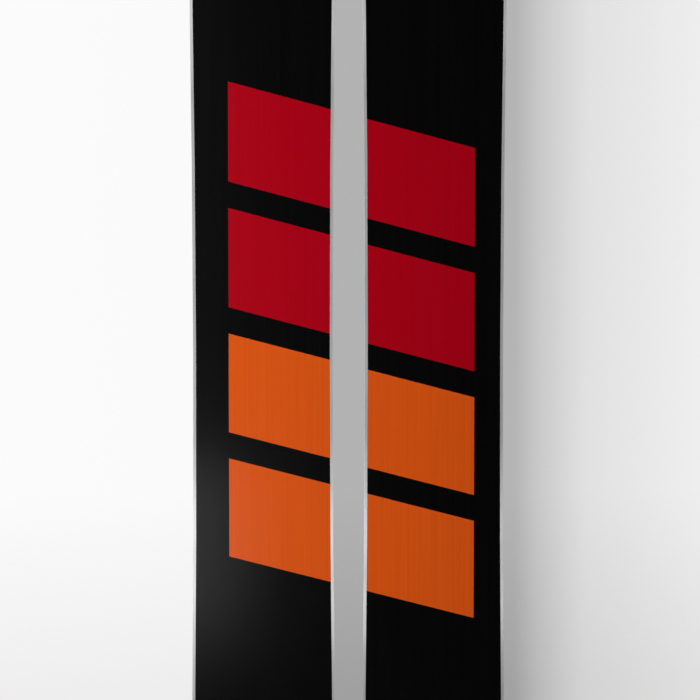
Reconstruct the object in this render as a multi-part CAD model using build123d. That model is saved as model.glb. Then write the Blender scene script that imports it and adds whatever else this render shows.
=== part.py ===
from build123d import *
import os
from math import asin, cos, radians, sin, tan

# A pair of alpine skis with step-in bindings, standing upright side by side with the tips up.
# All sizes are in millimetres. Each ski is drawn in its own frame: X runs across it, Y is the height
# above the plane that its contact points touch (the running base faces -Y, the boot stands towards
# +Y), and Z is the distance from the boot centre towards the tip. pair_places() then stands the two
# skis side by side, with the pair's origin below the middle of its box.

# Overall sizes of one ski
FRONT_LENGTH = 875.0            # boot centre to the tip, as projected on the contact plane
REAR_LENGTH = 740.0             # boot centre to the tail end
WAIST_WIDTH = 98.0
SHOVEL_WIDTH = 119.9
TAIL_WIDTH = 117.3
WAIST_SETBACK = 15.0            # how far behind the boot centre the waist lies
TIP_ZONE = 213.0                # tip end back to the shovel's widest place
TAIL_ZONE = 118.0               # tail end forward to the tail's widest place
NOSE_RADIUS = 45.0
TAIL_NARROWING = 7.0            # what each side closes in from the tail's widest place to its end
TAIL_CORNER_RADIUS = 22.0
PAIR_CLEARANCE = 0.9            # gap between the two skis at their widest places

# Side profile
CAMBER = 3.0                    # height of the unweighted middle above the contact plane
FRONT_CONTACT_SETBACK = 285.0   # tip end back to the front contact point
REAR_CONTACT_SETBACK = 180.0
ROCKER_RADIUS = 1500.0
ROCKER_LENGTH = 160.0
TIP_RADIUS = 260.0
TIP_ANGLE = 36.0
TAIL_RADIUS = 900.0
TAIL_ROCKER_LENGTH = 150.0

# Layers, from the running base up
BASE_THICKNESS = 1.3
EDGE_HEIGHT = 2.0
EDGE_WIDTH = 2.0
EDGE_FLANGE_WIDTH = 5.0
LOWER_LAMINATE_THICKNESS = 0.6
LAMINATE_SETBACK = 0.5          # from the steel edge's outer face
CORE_MIDDLE_THICKNESS = 9.5
CORE_END_THICKNESS = 1.6
UPPER_LAMINATE_THICKNESS = 0.6
TOPSHEET_THICKNESS = 0.5
SIDEWALL_WIDTH = 8.0            # at its foot
SIDEWALL_SETBACK = 0.8          # from the outline, at the contact plane
SIDEWALL_BEVEL = 12.0           # lean of the sidewalls, in degrees
TIP_STEP = 0.5                  # the upper layers draw in this much more beyond the sidewalls

# Die-cut colour blocks of the running base, which run on from one ski to the other
BLOCK_COLOURS = ("red_inlays", "red_inlays", "orange_inlays", "orange_inlays")
BLOCK_SLOPE = 14.7
BLOCK_HEIGHT = 69.5
BLOCK_PITCH = 88.0
BLOCK_LEFT_REACH = 84.5         # from the pair's middle plane to the blocks' left ends
BLOCK_RIGHT_REACH = 89.0

# The boot that the bindings are set for
BOOT_SOLE_LENGTH = 305.0
BOOT_TOE_RADIUS = 32.0
BOOT_HEEL_RADIUS = 31.0
BOOT_TOE_THICKNESS = 19.0
BOOT_HEEL_THICKNESS = 30.0
BOOT_GAP = 1.5
STAND_HEIGHT = 20.0             # topsheet to the boot's sole

# Binding screws
SCREW_RADIUS = 2.6
SCREW_HEAD_RADIUS = 4.6
SCREW_HEAD_HEIGHT = 2.6
SCREW_DEPTH = 9.0               # below the topsheet
SCREW_CLEARANCE = 0.05
HEAD_CLEARANCE = 0.3
SLOT_WIDTH = 1.6
SLOT_DEPTH = 1.4

# Fits
PIN_CLEARANCE = 0.05            # radial, for whatever turns on a pin or in a bore
SLIDE_CLEARANCE = 0.2
MOVING_GAP = 0.5                # between faces that swing past each other

# Toe unit; lengths along the ski are counted forward from the boot's toe
TOE_PLATE_THICKNESS = 5.0
TOE_PLATE_WIDTH = 68.0
TOE_PLATE_REAR = -50.5
TOE_PLATE_FRONT = 99.5
TOE_PLATE_CORNER = 10.0
PEDESTAL_WIDTH = 48.0
PEDESTAL_REAR = -46.5
PEDESTAL_FRONT = -10.5
ANTIFRICTION_WIDTH = 52.0
ANTIFRICTION_THICKNESS = 4.0
ANTIFRICTION_INSET = 2.0        # from each end of the pedestal
ANTIFRICTION_TRAVEL = 4.0       # each way
TONGUE_WIDTH = 34.0
TONGUE_LENGTH = 13.6
TONGUE_HEIGHT = 4.6
GROOVE_DEPTH = 5.0
TOE_REAR_SCREWS = (26.0, 0.5)
TOE_FRONT_SCREWS = (18.0, 92.5)
HOUSING_WIDTH = 54.0
HOUSING_REAR = 8.0
HOUSING_FRONT = 85.5
HOUSING_CORNER = 7.0
CAP_WIDTH = 56.0
CAP_THICKNESS = 7.0
CAP_FRONT = 73.5
BARREL_WIDTH = 28.0
BARREL_REAR = 30.0
BARREL_CORNER = 3.0
WING_LIFT = 1.8                 # wing's underside above the boot's sole
WING_LIP_GAP = 1.3              # between the boot's toe and the wing's lip
WING_LIP_THICKNESS = 5.5
WING_LIP_REACH = 7.5
WING_WALL = 5.0
WING_SPLIT = 1.5                # half the gap between the two wings
WING_REAR = -24.5
WING_PIN_X = 20.0
WING_PIN_Z = 19.5
WING_PIN_RADIUS = 3.0
WING_BOSS_RADIUS = 8.0
WING_WEB = ((1.5, -2.5), (1.5, 9.5), (13.0, 24.0), (25.0, 26.5), (30.0, -2.5))

# Release springs and setting screws, the same in the toe and the heel
BORE_RADIUS = 9.3
SPRING_CLEARANCE = 0.5          # radial, between a spring and its bore
SPRING_WALL = 2.6
SETTING_SCREW_LENGTH = 13.0
SETTING_SCREW_PROUD = 1.5
TOE_SPRING_LENGTH = 36.0

# Heel unit; lengths along the ski are counted back from the boot's heel
TRACK_REAR = 95.5
TRACK_FRONT = -58.5
TRACK_FOOT_WIDTH = 52.0
TRACK_HEAD_WIDTH = 60.0
TRACK_FOOT_HEIGHT = 3.0
TRACK_HEAD_HEIGHT = 3.0
TRACK_SCREW_X = 18.0
TRACK_SCREW_INSET = 9.0
RACK_SLOT_COUNT = 11
RACK_SLOT_PITCH = 5.0
RACK_SLOT_WIDTH = 14.0
RACK_SLOT_LENGTH = 2.5
RACK_SLOT_DEPTH = 2.0
CARRIAGE_REAR = 72.5
CARRIAGE_FRONT = -24.5
CARRIAGE_WALL = 3.6
CARRIAGE_TOP_THICKNESS = 3.8
CARRIAGE_CORNER = 3.0
CARRIAGE_TRAVEL = 15.0          # each way
HOOK_THICKNESS = 2.2
REST_PAD_WIDTH = 9.0
REST_PAD_OUTER = 33.0
REST_PAD_LENGTH = 22.0
EAR_THICKNESS = 6.0
EAR_RADIUS = 11.0
PIVOT_BACK = 39.5
PIVOT_HEIGHT = 26.0             # above the topsheet
PIVOT_RADIUS = 3.5
PIVOT_PROUD = 1.0               # what the pivot pin shows beyond each ear
CUP_WIDTH = 47.0
CUP_TOP = 61.0                  # above the topsheet
CUP_FRONT_WIDTH = 66.0
CUP_FRONT_REACH = -11.5
CUP_FRONT_BACK = 25.5
CUP_LIP_REACH = 8.0
CUP_LIP_THICKNESS = 7.8
CUP_LIP_GAP = 0.5
CUP_CORNER = 5.0
PEDAL_WIDTH = 40.0
PEDAL_REACH = -26.5
PEDAL_TOP_DROP = 0.5            # below the boot's sole
PEDAL_THICKNESS = 5.7
CUP_SIDE = ((12.5, 14.0), (47.5, 15.0), (54.5, 22.0), (69.5, 40.0), (69.5, 54.0), (59.5, 61.0),
            (12.5, 61.0))       # the cup's body from the side: back from the heel, above the topsheet
BARREL_HEIGHT = 46.0            # heel spring's axis above the topsheet
HEEL_BORE_FRONT = 19.5
LUG_THICKNESS = 6.0
LUG_INNER = 14.0
LUG_RADIUS = 7.5
LEVER_HINGE_BACK = 55.5
LEVER_HINGE_HEIGHT = 68.5
LEVER_HUB_RADIUS = 6.5
LEVER_STUB_RADIUS = 3.0
LEVER_ARM_REACH = 48.0
LEVER_ARM_RISE = 7.5
LEVER_ARM_THICKNESS = 6.0
LEVER_SIDE_CLEARANCE = 0.3      # from each lug
LEVER_PAD_WIDTH = 40.0
LEVER_PAD_LENGTH = 24.0
LEVER_DISH_RADIUS = 26.0
LEVER_DISH_DEPTH = 1.6

# Worked out from the sizes above
SKI_SPACING = max(SHOVEL_WIDTH, TAIL_WIDTH) + PAIR_CLEARANCE
SHOVEL_Z = FRONT_LENGTH - TIP_ZONE
TAIL_Z = TAIL_ZONE - REAR_LENGTH
FRONT_CONTACT_Z = FRONT_LENGTH - FRONT_CONTACT_SETBACK
REAR_CONTACT_Z = REAR_CONTACT_SETBACK - REAR_LENGTH
TOE_Z = BOOT_SOLE_LENGTH / 2
HEEL_Z = -BOOT_SOLE_LENGTH / 2
FLAT_MARGIN = 8.0               # flat topsheet beyond the longer of the two binding units
FLAT_HALF_LENGTH = TOE_Z + max(TOE_PLATE_FRONT, TRACK_REAR) + FLAT_MARGIN
ROCKER_ANGLE = ROCKER_LENGTH / ROCKER_RADIUS
TAIL_ANGLE = TAIL_ROCKER_LENGTH / TAIL_RADIUS
STACK_BELOW_CORE = EDGE_HEIGHT + LOWER_LAMINATE_THICKNESS
STACK_ABOVE_CORE = UPPER_LAMINATE_THICKNESS + TOPSHEET_THICKNESS
DECK_Y = CAMBER + STACK_BELOW_CORE + CORE_MIDDLE_THICKNESS + STACK_ABOVE_CORE
SOLE_Y = DECK_Y + STAND_HEIGHT
TIP_SETBACK = (SIDEWALL_SETBACK + TIP_STEP
               + (STACK_BELOW_CORE + CORE_END_THICKNESS) * tan(radians(SIDEWALL_BEVEL)))
PRISM_LOW_Y = -5.0
PRISM_HIGH_Y = 400.0
OVERRUN = 30.0                  # how far the side profile is drawn past the outline's two ends
SCREW_FLOOR_Y = DECK_Y - SCREW_DEPTH
SPRING_OUTER_RADIUS = BORE_RADIUS - SPRING_CLEARANCE
SPRING_INNER_RADIUS = SPRING_OUTER_RADIUS - SPRING_WALL

TOE_PLATE_Y = DECK_Y + TOE_PLATE_THICKNESS
WING_LOW_Y = SOLE_Y + WING_LIFT
WING_LIP_Y = SOLE_Y + BOOT_TOE_THICKNESS + WING_LIP_GAP
WING_HIGH_Y = WING_LIP_Y + WING_LIP_THICKNESS
TOE_CAP_Y = WING_HIGH_Y + MOVING_GAP
TOE_TOP_Y = TOE_CAP_Y + CAP_THICKNESS
TOE_BARREL_Y = (WING_LOW_Y + WING_HIGH_Y) / 2
TOE_POCKET_Z = TOE_Z - BOOT_TOE_RADIUS
TOE_POCKET_RADIUS = BOOT_TOE_RADIUS + BOOT_GAP

TRACK_HEAD_Y = DECK_Y + TRACK_FOOT_HEIGHT
TRACK_TOP_Y = TRACK_HEAD_Y + TRACK_HEAD_HEIGHT
CARRIAGE_LOW_Y = TRACK_TOP_Y + SLIDE_CLEARANCE
CARRIAGE_HIGH_Y = CARRIAGE_LOW_Y + CARRIAGE_TOP_THICKNESS
CARRIAGE_INNER_X = TRACK_HEAD_WIDTH / 2 + SLIDE_CLEARANCE
CARRIAGE_OUTER_X = CARRIAGE_INNER_X + CARRIAGE_WALL
PIVOT_Y = DECK_Y + PIVOT_HEIGHT
PIVOT_Z = HEEL_Z - PIVOT_BACK
EAR_OUTER_X = CUP_WIDTH / 2 + MOVING_GAP + EAR_THICKNESS
PIVOT_LENGTH = 2 * (EAR_OUTER_X + PIVOT_PROUD)
CUP_POCKET_Z = HEEL_Z + BOOT_HEEL_RADIUS
CUP_POCKET_RADIUS = BOOT_HEEL_RADIUS + BOOT_GAP
CUP_LIP_Y = SOLE_Y + BOOT_HEEL_THICKNESS + CUP_LIP_GAP
LEVER_HINGE_Y = DECK_Y + LEVER_HINGE_HEIGHT
LEVER_HINGE_Z = HEEL_Z - LEVER_HINGE_BACK
LEVER_WIDTH = 2 * (LUG_INNER - LEVER_SIDE_CLEARANCE)
HEEL_BARREL_Y = DECK_Y + BARREL_HEIGHT
HEEL_BORE_REAR = max(back for back, _ in CUP_SIDE)


# ---------------------------------------------------------------------------------- plain helpers

def slab(x, y, z):
    """A box between pairs of limits along X, Y and Z."""
    sizes = [high - low for low, high in (x, y, z)]
    middle = [(high + low) / 2 for low, high in (x, y, z)]
    return Pos(*middle) * Box(*sizes)


def wide_slab(width, y, z):
    """A box of a given width, centred on the ski."""
    return slab((-width / 2, width / 2), y, z)


def rounded(solid, axis, radius):
    """The solid with its edges along one axis rounded."""
    return fillet(solid.edges().filter_by(axis), radius)


def post(x, z, radius, y):
    """A round post or hole along Y."""
    return Pos(x, (y[0] + y[1]) / 2, z) * Rot(90, 0, 0) * Cylinder(radius, y[1] - y[0])


def bar(y, z, radius, x):
    """A round bar or hole along X."""
    return Pos((x[0] + x[1]) / 2, y, z) * Rot(0, 90, 0) * Cylinder(radius, x[1] - x[0])


def barrel(y, radius, z):
    """A round barrel or bore along Z, on the ski's middle plane."""
    return Pos(0, y, (z[0] + z[1]) / 2) * Cylinder(radius, z[1] - z[0])


def side_plate(points, x):
    """A plate between two limits along X, from corners given as (y, z)."""
    outline = Polyline(*[(x[0], y, z) for y, z in points], close=True)
    return extrude(Face(Wire(outline.edges())), amount=x[1] - x[0], dir=(1, 0, 0))


# ---------------------------------------------------------------------------------- ski: side profile

def on_circle(centre, radius, angle):
    """A point on a circle in the side view, by its angle from straight below the centre."""
    y, z = centre
    return (0, y - radius * cos(angle), z + radius * sin(angle))


def bend(centre, radius, start, stop):
    """The arc of a circle in the side view between two such angles."""
    return ThreePointArc(*[on_circle(centre, radius, angle) for angle in (start, (start + stop) / 2, stop)])


def ease(low, high):
    """Two tangent arcs from a low point to a high point, level at both ends, in order of Z."""
    rise = high[0] - low[0]
    run = high[1] - low[1]
    radius = (run ** 2 + rise ** 2) / (4 * rise)
    turn = asin(run / 2 / radius)
    up = bend((low[0] + radius, low[1]), radius, 0, turn)
    crest = (high[0] - radius, high[1])
    over = ThreePointArc(*[(0, crest[0] + radius * cos(angle), crest[1] - radius * sin(angle))
                           for angle in (turn, turn / 2, 0)])
    return [up, over]


def contour(middle_y, lift):
    """One surface of the ski from the side: flat at middle_y under the bindings, and lift above the
    running surface from the contact points outwards. It runs from the tail to the tip."""
    tail_centre = (TAIL_RADIUS, REAR_CONTACT_Z)
    tail_arc = bend(tail_centre, TAIL_RADIUS - lift, -TAIL_ANGLE, 0)
    rocker_centre = (ROCKER_RADIUS, FRONT_CONTACT_Z)
    rocker_arc = bend(rocker_centre, ROCKER_RADIUS - lift, 0, ROCKER_ANGLE)
    step = ROCKER_RADIUS - TIP_RADIUS
    tip_centre = (ROCKER_RADIUS - step * cos(ROCKER_ANGLE), FRONT_CONTACT_Z + step * sin(ROCKER_ANGLE))
    tip_angle = radians(TIP_ANGLE)
    tip_arc = bend(tip_centre, TIP_RADIUS - lift, ROCKER_ANGLE, tip_angle)

    tail_start = tail_arc @ 0
    tail_run = max(tail_start.Z + REAR_LENGTH, 0) / cos(TAIL_ANGLE) + OVERRUN
    tail_end = tail_start + Vector(0, sin(TAIL_ANGLE), -cos(TAIL_ANGLE)) * tail_run
    tip_start = tip_arc @ 1
    tip_run = max(FRONT_LENGTH - tip_start.Z, 0) / cos(tip_angle) + OVERRUN
    tip_end = tip_start + Vector(0, sin(tip_angle), cos(tip_angle)) * tip_run

    rear_ease = ease((lift, REAR_CONTACT_Z), (middle_y, -FLAT_HALF_LENGTH))
    flat = Line((0, middle_y, -FLAT_HALF_LENGTH), (0, middle_y, FLAT_HALF_LENGTH))
    front_ease = [edge.mirror(Plane.XY)
                  for edge in ease((lift, -FRONT_CONTACT_Z), (middle_y, -FLAT_HALF_LENGTH))]
    return [Line(tail_end, tail_start), tail_arc, *rear_ease, flat, *reversed(front_ease), rocker_arc,
            tip_arc, Line(tip_start, tip_end)]


def surface(lift):
    """A surface that keeps its distance from the running surface."""
    return CAMBER + lift, lift


def above_core(lift):
    """A surface that keeps its distance from the core's top."""
    return (CAMBER + STACK_BELOW_CORE + CORE_MIDDLE_THICKNESS + lift,
            STACK_BELOW_CORE + CORE_END_THICKNESS + lift)


def layer(lower, upper):
    """All that lies between two such surfaces, wider than the ski."""
    below = contour(*lower)
    above = contour(*upper)
    ends = [Line(below[0] @ 0, above[0] @ 0), Line(below[-1] @ 1, above[-1] @ 1)]
    section = Face(Wire([*below, *above, *ends]))
    return extrude(section, amount=max(SHOVEL_WIDTH, TAIL_WIDTH), dir=(1, 0, 0), both=True)


# ---------------------------------------------------------------------------------- ski: outline

def sidecut_face(inset, y=PRISM_LOW_Y):
    """The outline between the tail's and the shovel's widest places, drawn in from the ski's edge."""
    places = ((TAIL_WIDTH, TAIL_Z), (WAIST_WIDTH, -WAIST_SETBACK), (SHOVEL_WIDTH, SHOVEL_Z))
    right = [(width / 2 - inset, y, z) for width, z in places]
    left = [(-x, y, z) for x, y, z in right]
    edges = [ThreePointArc(*right), Line(right[2], left[2]), ThreePointArc(*left), Line(left[0], right[0])]
    return Face(Wire(edges))


def tip_face(inset):
    """The outline ahead of the shovel: two long arcs that close in on a round nose."""
    half = SHOVEL_WIDTH / 2 - inset
    nose_radius = NOSE_RADIUS - inset
    nose_z = FRONT_LENGTH - NOSE_RADIUS
    rise = nose_z - SHOVEL_Z
    side_radius = (half ** 2 + rise ** 2 - nose_radius ** 2) / (2 * (half - nose_radius))
    join_angle = asin(rise / (side_radius - nose_radius))

    def side_point(sign, angle):
        reach = half - side_radius + side_radius * cos(angle)
        return (sign * reach, PRISM_LOW_Y, SHOVEL_Z + side_radius * sin(angle))

    def side_arc(sign):
        return ThreePointArc(*[side_point(sign, angle) for angle in (0, join_angle / 2, join_angle)])

    right = side_arc(1)
    left = side_arc(-1)
    nose = ThreePointArc(right @ 1, (0, PRISM_LOW_Y, nose_z + nose_radius), left @ 1)
    return Face(Wire([right, nose, left, Line(left @ 0, right @ 0)]))


def tail_face(inset):
    """The outline behind the tail's widest place, with its two rounded corners."""
    half = TAIL_WIDTH / 2 - inset
    end = half - TAIL_NARROWING
    corners = [(half, TAIL_Z), (end, inset - REAR_LENGTH), (-end, inset - REAR_LENGTH), (-half, TAIL_Z)]
    outline = Polyline(*[(x, PRISM_LOW_Y, z) for x, z in corners], close=True)
    face = Face(Wire(outline.edges()))
    tail_corners = face.vertices().sort_by(Axis.Z)[:2]
    return fillet(tail_corners, TAIL_CORNER_RADIUS - inset)


def upright(face):
    """A prism from a plan outline, right through the ski."""
    return extrude(face, amount=PRISM_HIGH_Y - PRISM_LOW_Y, dir=(0, 1, 0))


def bevelled_middle():
    """The room between the leaning sidewall faces, from the contact plane to above the topsheet."""
    high = DECK_Y + CAMBER
    lean = tan(radians(SIDEWALL_BEVEL))
    faces = [sidecut_face(SIDEWALL_SETBACK + y * lean, y) for y in (0, high)]
    return loft(faces, ruled=True)


class Outlines:
    """The plan and section shapes that the layers are cut from, made once for both skis."""

    def __init__(self):
        self.full_ends = upright(tip_face(0)) + upright(tail_face(0))
        self.laminate = (upright(sidecut_face(LAMINATE_SETBACK)) + upright(tip_face(LAMINATE_SETBACK))
                         + upright(tail_face(LAMINATE_SETBACK)))
        self.edge_outer = upright(sidecut_face(0))
        self.edge_inner = upright(sidecut_face(EDGE_WIDTH))
        self.flange_inner = upright(sidecut_face(EDGE_WIDTH + EDGE_FLANGE_WIDTH))
        self.core = upright(sidecut_face(SIDEWALL_WIDTH + SIDEWALL_SETBACK))
        self.bevelled = bevelled_middle()
        self.tip = upright(tip_face(TIP_SETBACK))
        self.tail = upright(tail_face(TIP_SETBACK))
        self.top = self.bevelled + self.tip + self.tail


# ---------------------------------------------------------------------------------- ski: its pieces

def colour_blocks(ski_x):
    """The slanted prisms of the colour blocks, from the top one down, for a ski centred at ski_x."""
    slope = tan(radians(BLOCK_SLOPE))
    left = max(-BLOCK_LEFT_REACH - ski_x, -SKI_SPACING / 2)
    right = min(BLOCK_RIGHT_REACH - ski_x, SKI_SPACING / 2)
    group = (len(BLOCK_COLOURS) - 1) * BLOCK_PITCH + BLOCK_HEIGHT
    middle_x = (BLOCK_RIGHT_REACH - BLOCK_LEFT_REACH) / 2
    prisms = []
    for number in range(len(BLOCK_COLOURS)):
        high = group / 2 - number * BLOCK_PITCH

        def height(x):
            return high - slope * (x + ski_x - middle_x)

        corners = [(left, height(left)), (right, height(right)),
                   (right, height(right) - BLOCK_HEIGHT), (left, height(left) - BLOCK_HEIGHT)]
        outline = Polyline(*[(x, PRISM_LOW_Y, z) for x, z in corners], close=True)
        prisms.append(upright(Face(Wire(outline.edges()))))
    return prisms


def halves(solids):
    """The solids left and right of the ski's middle plane."""
    left = [solid for solid in solids if solid.center().X < 0]
    right = [solid for solid in solids if solid.center().X > 0]
    return Compound(children=left), Compound(children=right)


def binding_screw_places():
    """Where the screws go into the ski, as (x, z)."""
    toe = [(sign * x, TOE_Z + z) for x, z in (TOE_REAR_SCREWS, TOE_FRONT_SCREWS) for sign in (-1, 1)]
    ends = (HEEL_Z - TRACK_FRONT - TRACK_SCREW_INSET, HEEL_Z - TRACK_REAR + TRACK_SCREW_INSET)
    heel = [(sign * TRACK_SCREW_X, z) for z in ends for sign in (-1, 1)]
    return toe, heel


def screw_holes(places, top_y):
    """The holes for a set of screws, from their tips up to top_y."""
    holes = [post(x, z, SCREW_RADIUS + SCREW_CLEARANCE, (SCREW_FLOOR_Y, top_y)) for x, z in places]
    return Compound(children=holes)


def ski_layers(shapes):
    """The layers that are the same in both skis."""
    toe, heel = binding_screw_places()
    holes = screw_holes(toe + heel, DECK_Y + OVERRUN)
    core_band = layer(surface(STACK_BELOW_CORE), above_core(0))
    foil_band = layer(surface(BASE_THICKNESS), surface(EDGE_HEIGHT))
    edge_bar = layer(surface(0), surface(EDGE_HEIGHT)) & (shapes.edge_outer - shapes.edge_inner)
    flange = foil_band & (shapes.edge_inner - shapes.flange_inner)
    edge_left, edge_right = halves((edge_bar + flange).solids())
    sides = core_band & (shapes.bevelled - shapes.core)
    return {
        "edge_left": edge_left,
        "edge_right": edge_right,
        "damping_foil": foil_band & (shapes.flange_inner + shapes.full_ends),
        "lower_laminate": layer(surface(EDGE_HEIGHT), surface(STACK_BELOW_CORE)) & shapes.laminate,
        "wood_core": (core_band & shapes.core) - holes,
        "sidewalls": sides,
        "tip_spacer": core_band & shapes.tip,
        "tail_spacer": core_band & shapes.tail,
        "upper_laminate": (layer(above_core(0), above_core(UPPER_LAMINATE_THICKNESS)) & shapes.top) - holes,
        "topsheet": (layer(above_core(UPPER_LAMINATE_THICKNESS), above_core(STACK_ABOVE_CORE)) & shapes.top)
        - holes,
    }


def running_base(shapes, ski_x):
    """The running base with its colour blocks let in."""
    sheet = layer(surface(0), surface(BASE_THICKNESS)) & (shapes.edge_inner + shapes.full_ends)
    blocks = {}
    for colour, prism in zip(BLOCK_COLOURS, colour_blocks(ski_x)):
        blocks.setdefault(colour, []).extend((sheet & prism).solids())
        sheet = sheet - prism
    return {"running_base": sheet, **{name: Compound(children=solids) for name, solids in blocks.items()}}


# ---------------------------------------------------------------------------------- shared small pieces

def screw(x, z, seat_y):
    """One binding screw with a slotted pan head that sits on seat_y."""
    head_y = seat_y + SCREW_HEAD_HEIGHT
    shank = post(x, z, SCREW_RADIUS, (SCREW_FLOOR_Y, seat_y))
    head = post(x, z, SCREW_HEAD_RADIUS, (seat_y, head_y))
    slot = Pos(x, head_y, z) * Box(2 * SCREW_HEAD_RADIUS, 2 * SLOT_DEPTH, SLOT_WIDTH)
    cross = Pos(x, head_y, z) * Box(SLOT_WIDTH, 2 * SLOT_DEPTH, 2 * SCREW_HEAD_RADIUS)
    return shank + head - slot - cross


def screws(places, seat_y):
    """A set of binding screws."""
    return Compound(children=[screw(x, z, seat_y) for x, z in places])


def screw_seats(places, seat_y, top_y):
    """What a set of screws takes out of the plate that they hold."""
    holes = [post(x, z, SCREW_RADIUS + SCREW_CLEARANCE, (DECK_Y - OVERRUN, top_y)) for x, z in places]
    bores = [post(x, z, SCREW_HEAD_RADIUS + HEAD_CLEARANCE, (seat_y, top_y)) for x, z in places]
    return Compound(children=holes), Compound(children=bores)


def spring(y, z):
    """A release spring's outer shape, a sleeve along Z."""
    return barrel(y, SPRING_OUTER_RADIUS, z) - barrel(y, SPRING_INNER_RADIUS, z)


def setting_screw(y, inner_z, outer_z):
    """A round setting screw in its bore, with a slot in its outer face."""
    body = barrel(y, BORE_RADIUS - PIN_CLEARANCE, (min(inner_z, outer_z), max(inner_z, outer_z)))
    slot = Pos(0, y, outer_z) * Box(2 * BORE_RADIUS, 2 * SLOT_WIDTH, 2 * SLOT_DEPTH)
    return body - slot


# ---------------------------------------------------------------------------------- toe unit

def toe_base_plate(places):
    """The screwed-down plate with the pedestal that guides the antifriction plate."""
    plate = rounded(wide_slab(TOE_PLATE_WIDTH, (DECK_Y, TOE_PLATE_Y),
                              (TOE_Z + TOE_PLATE_REAR, TOE_Z + TOE_PLATE_FRONT)), Axis.Y, TOE_PLATE_CORNER)
    top_y = SOLE_Y - ANTIFRICTION_THICKNESS
    pedestal = wide_slab(PEDESTAL_WIDTH, (TOE_PLATE_Y, top_y), (TOE_Z + PEDESTAL_REAR, TOE_Z + PEDESTAL_FRONT))
    middle_z = TOE_Z + (PEDESTAL_REAR + PEDESTAL_FRONT) / 2
    groove_half = TONGUE_LENGTH / 2 + SLIDE_CLEARANCE
    groove = wide_slab(TONGUE_WIDTH + 2 * (ANTIFRICTION_TRAVEL + MOVING_GAP), (top_y - GROOVE_DEPTH, top_y),
                       (middle_z - groove_half, middle_z + groove_half))
    holes, bores = screw_seats(places, TOE_PLATE_Y - SCREW_HEAD_HEIGHT, TOE_PLATE_Y)
    return plate + pedestal - groove - holes - bores


def antifriction_plate():
    """The sliding plate under the boot's toe, with the tongue that guides it sideways."""
    top_y = SOLE_Y - ANTIFRICTION_THICKNESS
    rear = TOE_Z + PEDESTAL_REAR + ANTIFRICTION_INSET
    front = TOE_Z + PEDESTAL_FRONT - ANTIFRICTION_INSET
    middle_z = (rear + front) / 2
    pad = wide_slab(ANTIFRICTION_WIDTH, (top_y, SOLE_Y), (rear, front))
    tongue = wide_slab(TONGUE_WIDTH, (top_y - TONGUE_HEIGHT, top_y),
                       (middle_z - TONGUE_LENGTH / 2, middle_z + TONGUE_LENGTH / 2))
    return pad + tongue


def wing_pins():
    """The two pins that the wings swing on."""
    low = TOE_PLATE_Y
    return Compound(children=[post(sign * WING_PIN_X, TOE_Z + WING_PIN_Z, WING_PIN_RADIUS, (low, TOE_TOP_Y))
                              for sign in (-1, 1)])


def pin_holes(clearance):
    """The holes for the wing pins."""
    return Compound(children=[post(sign * WING_PIN_X, TOE_Z + WING_PIN_Z, WING_PIN_RADIUS + clearance,
                                   (TOE_PLATE_Y, TOE_TOP_Y + OVERRUN)) for sign in (-1, 1)])


def toe_housing():
    """The toe's body: a foot and a cap that hold the wing pins, joined by the spring's barrel."""
    foot = rounded(wide_slab(HOUSING_WIDTH, (TOE_PLATE_Y, WING_LOW_Y - MOVING_GAP),
                             (TOE_Z + HOUSING_REAR, TOE_Z + HOUSING_FRONT)), Axis.Y, HOUSING_CORNER)
    column = rounded(wide_slab(BARREL_WIDTH, (TOE_PLATE_Y, TOE_CAP_Y + CAP_THICKNESS / 2),
                               (TOE_Z + BARREL_REAR, TOE_Z + HOUSING_FRONT)), Axis.Z, BARREL_CORNER)
    cap = rounded(wide_slab(CAP_WIDTH, (TOE_CAP_Y, TOE_TOP_Y),
                            (TOE_Z + HOUSING_REAR, TOE_Z + CAP_FRONT)), Axis.Y, HOUSING_CORNER)
    front = TOE_Z + HOUSING_FRONT
    bore_rear = front - (SETTING_SCREW_LENGTH - SETTING_SCREW_PROUD) - TOE_SPRING_LENGTH
    bore = barrel(TOE_BARREL_Y, BORE_RADIUS, (bore_rear, front))
    return foot + column + cap - bore - pin_holes(PIN_CLEARANCE)


def toe_spring_and_screw():
    """The toe's release spring, and the screw that sets it from the front."""
    front = TOE_Z + HOUSING_FRONT
    seat = front - (SETTING_SCREW_LENGTH - SETTING_SCREW_PROUD)
    coil = spring(TOE_BARREL_Y, (seat - TOE_SPRING_LENGTH, seat))
    return coil, setting_screw(TOE_BARREL_Y, seat, front + SETTING_SCREW_PROUD)


def plan_disc(radius, z):
    """A disc in plan, centred on the ski."""
    return Pos(0, PRISM_LOW_Y, z) * Rot(-90, 0, 0) * Circle(radius)


def wing_plan(pocket_radius):
    """The right wing in plan, as a prism: a claw round the boot's toe and a web to its pin."""
    claw = upright((plan_disc(TOE_POCKET_RADIUS + WING_WALL, TOE_POCKET_Z)).face())
    web = Polyline(*[(x, PRISM_LOW_Y, TOE_Z + z) for x, z in WING_WEB], close=True)
    boss = post(WING_PIN_X, TOE_Z + WING_PIN_Z, WING_BOSS_RADIUS, (PRISM_LOW_Y, PRISM_HIGH_Y))
    pocket = post(0, TOE_POCKET_Z, pocket_radius, (PRISM_LOW_Y, PRISM_HIGH_Y))
    room = slab((WING_SPLIT, TOE_PLATE_WIDTH), (PRISM_LOW_Y, PRISM_HIGH_Y),
                (TOE_Z + WING_REAR, TOE_Z + HOUSING_FRONT))
    return (claw & room) + upright(Face(Wire(web.edges()))) + boss - pocket


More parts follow.
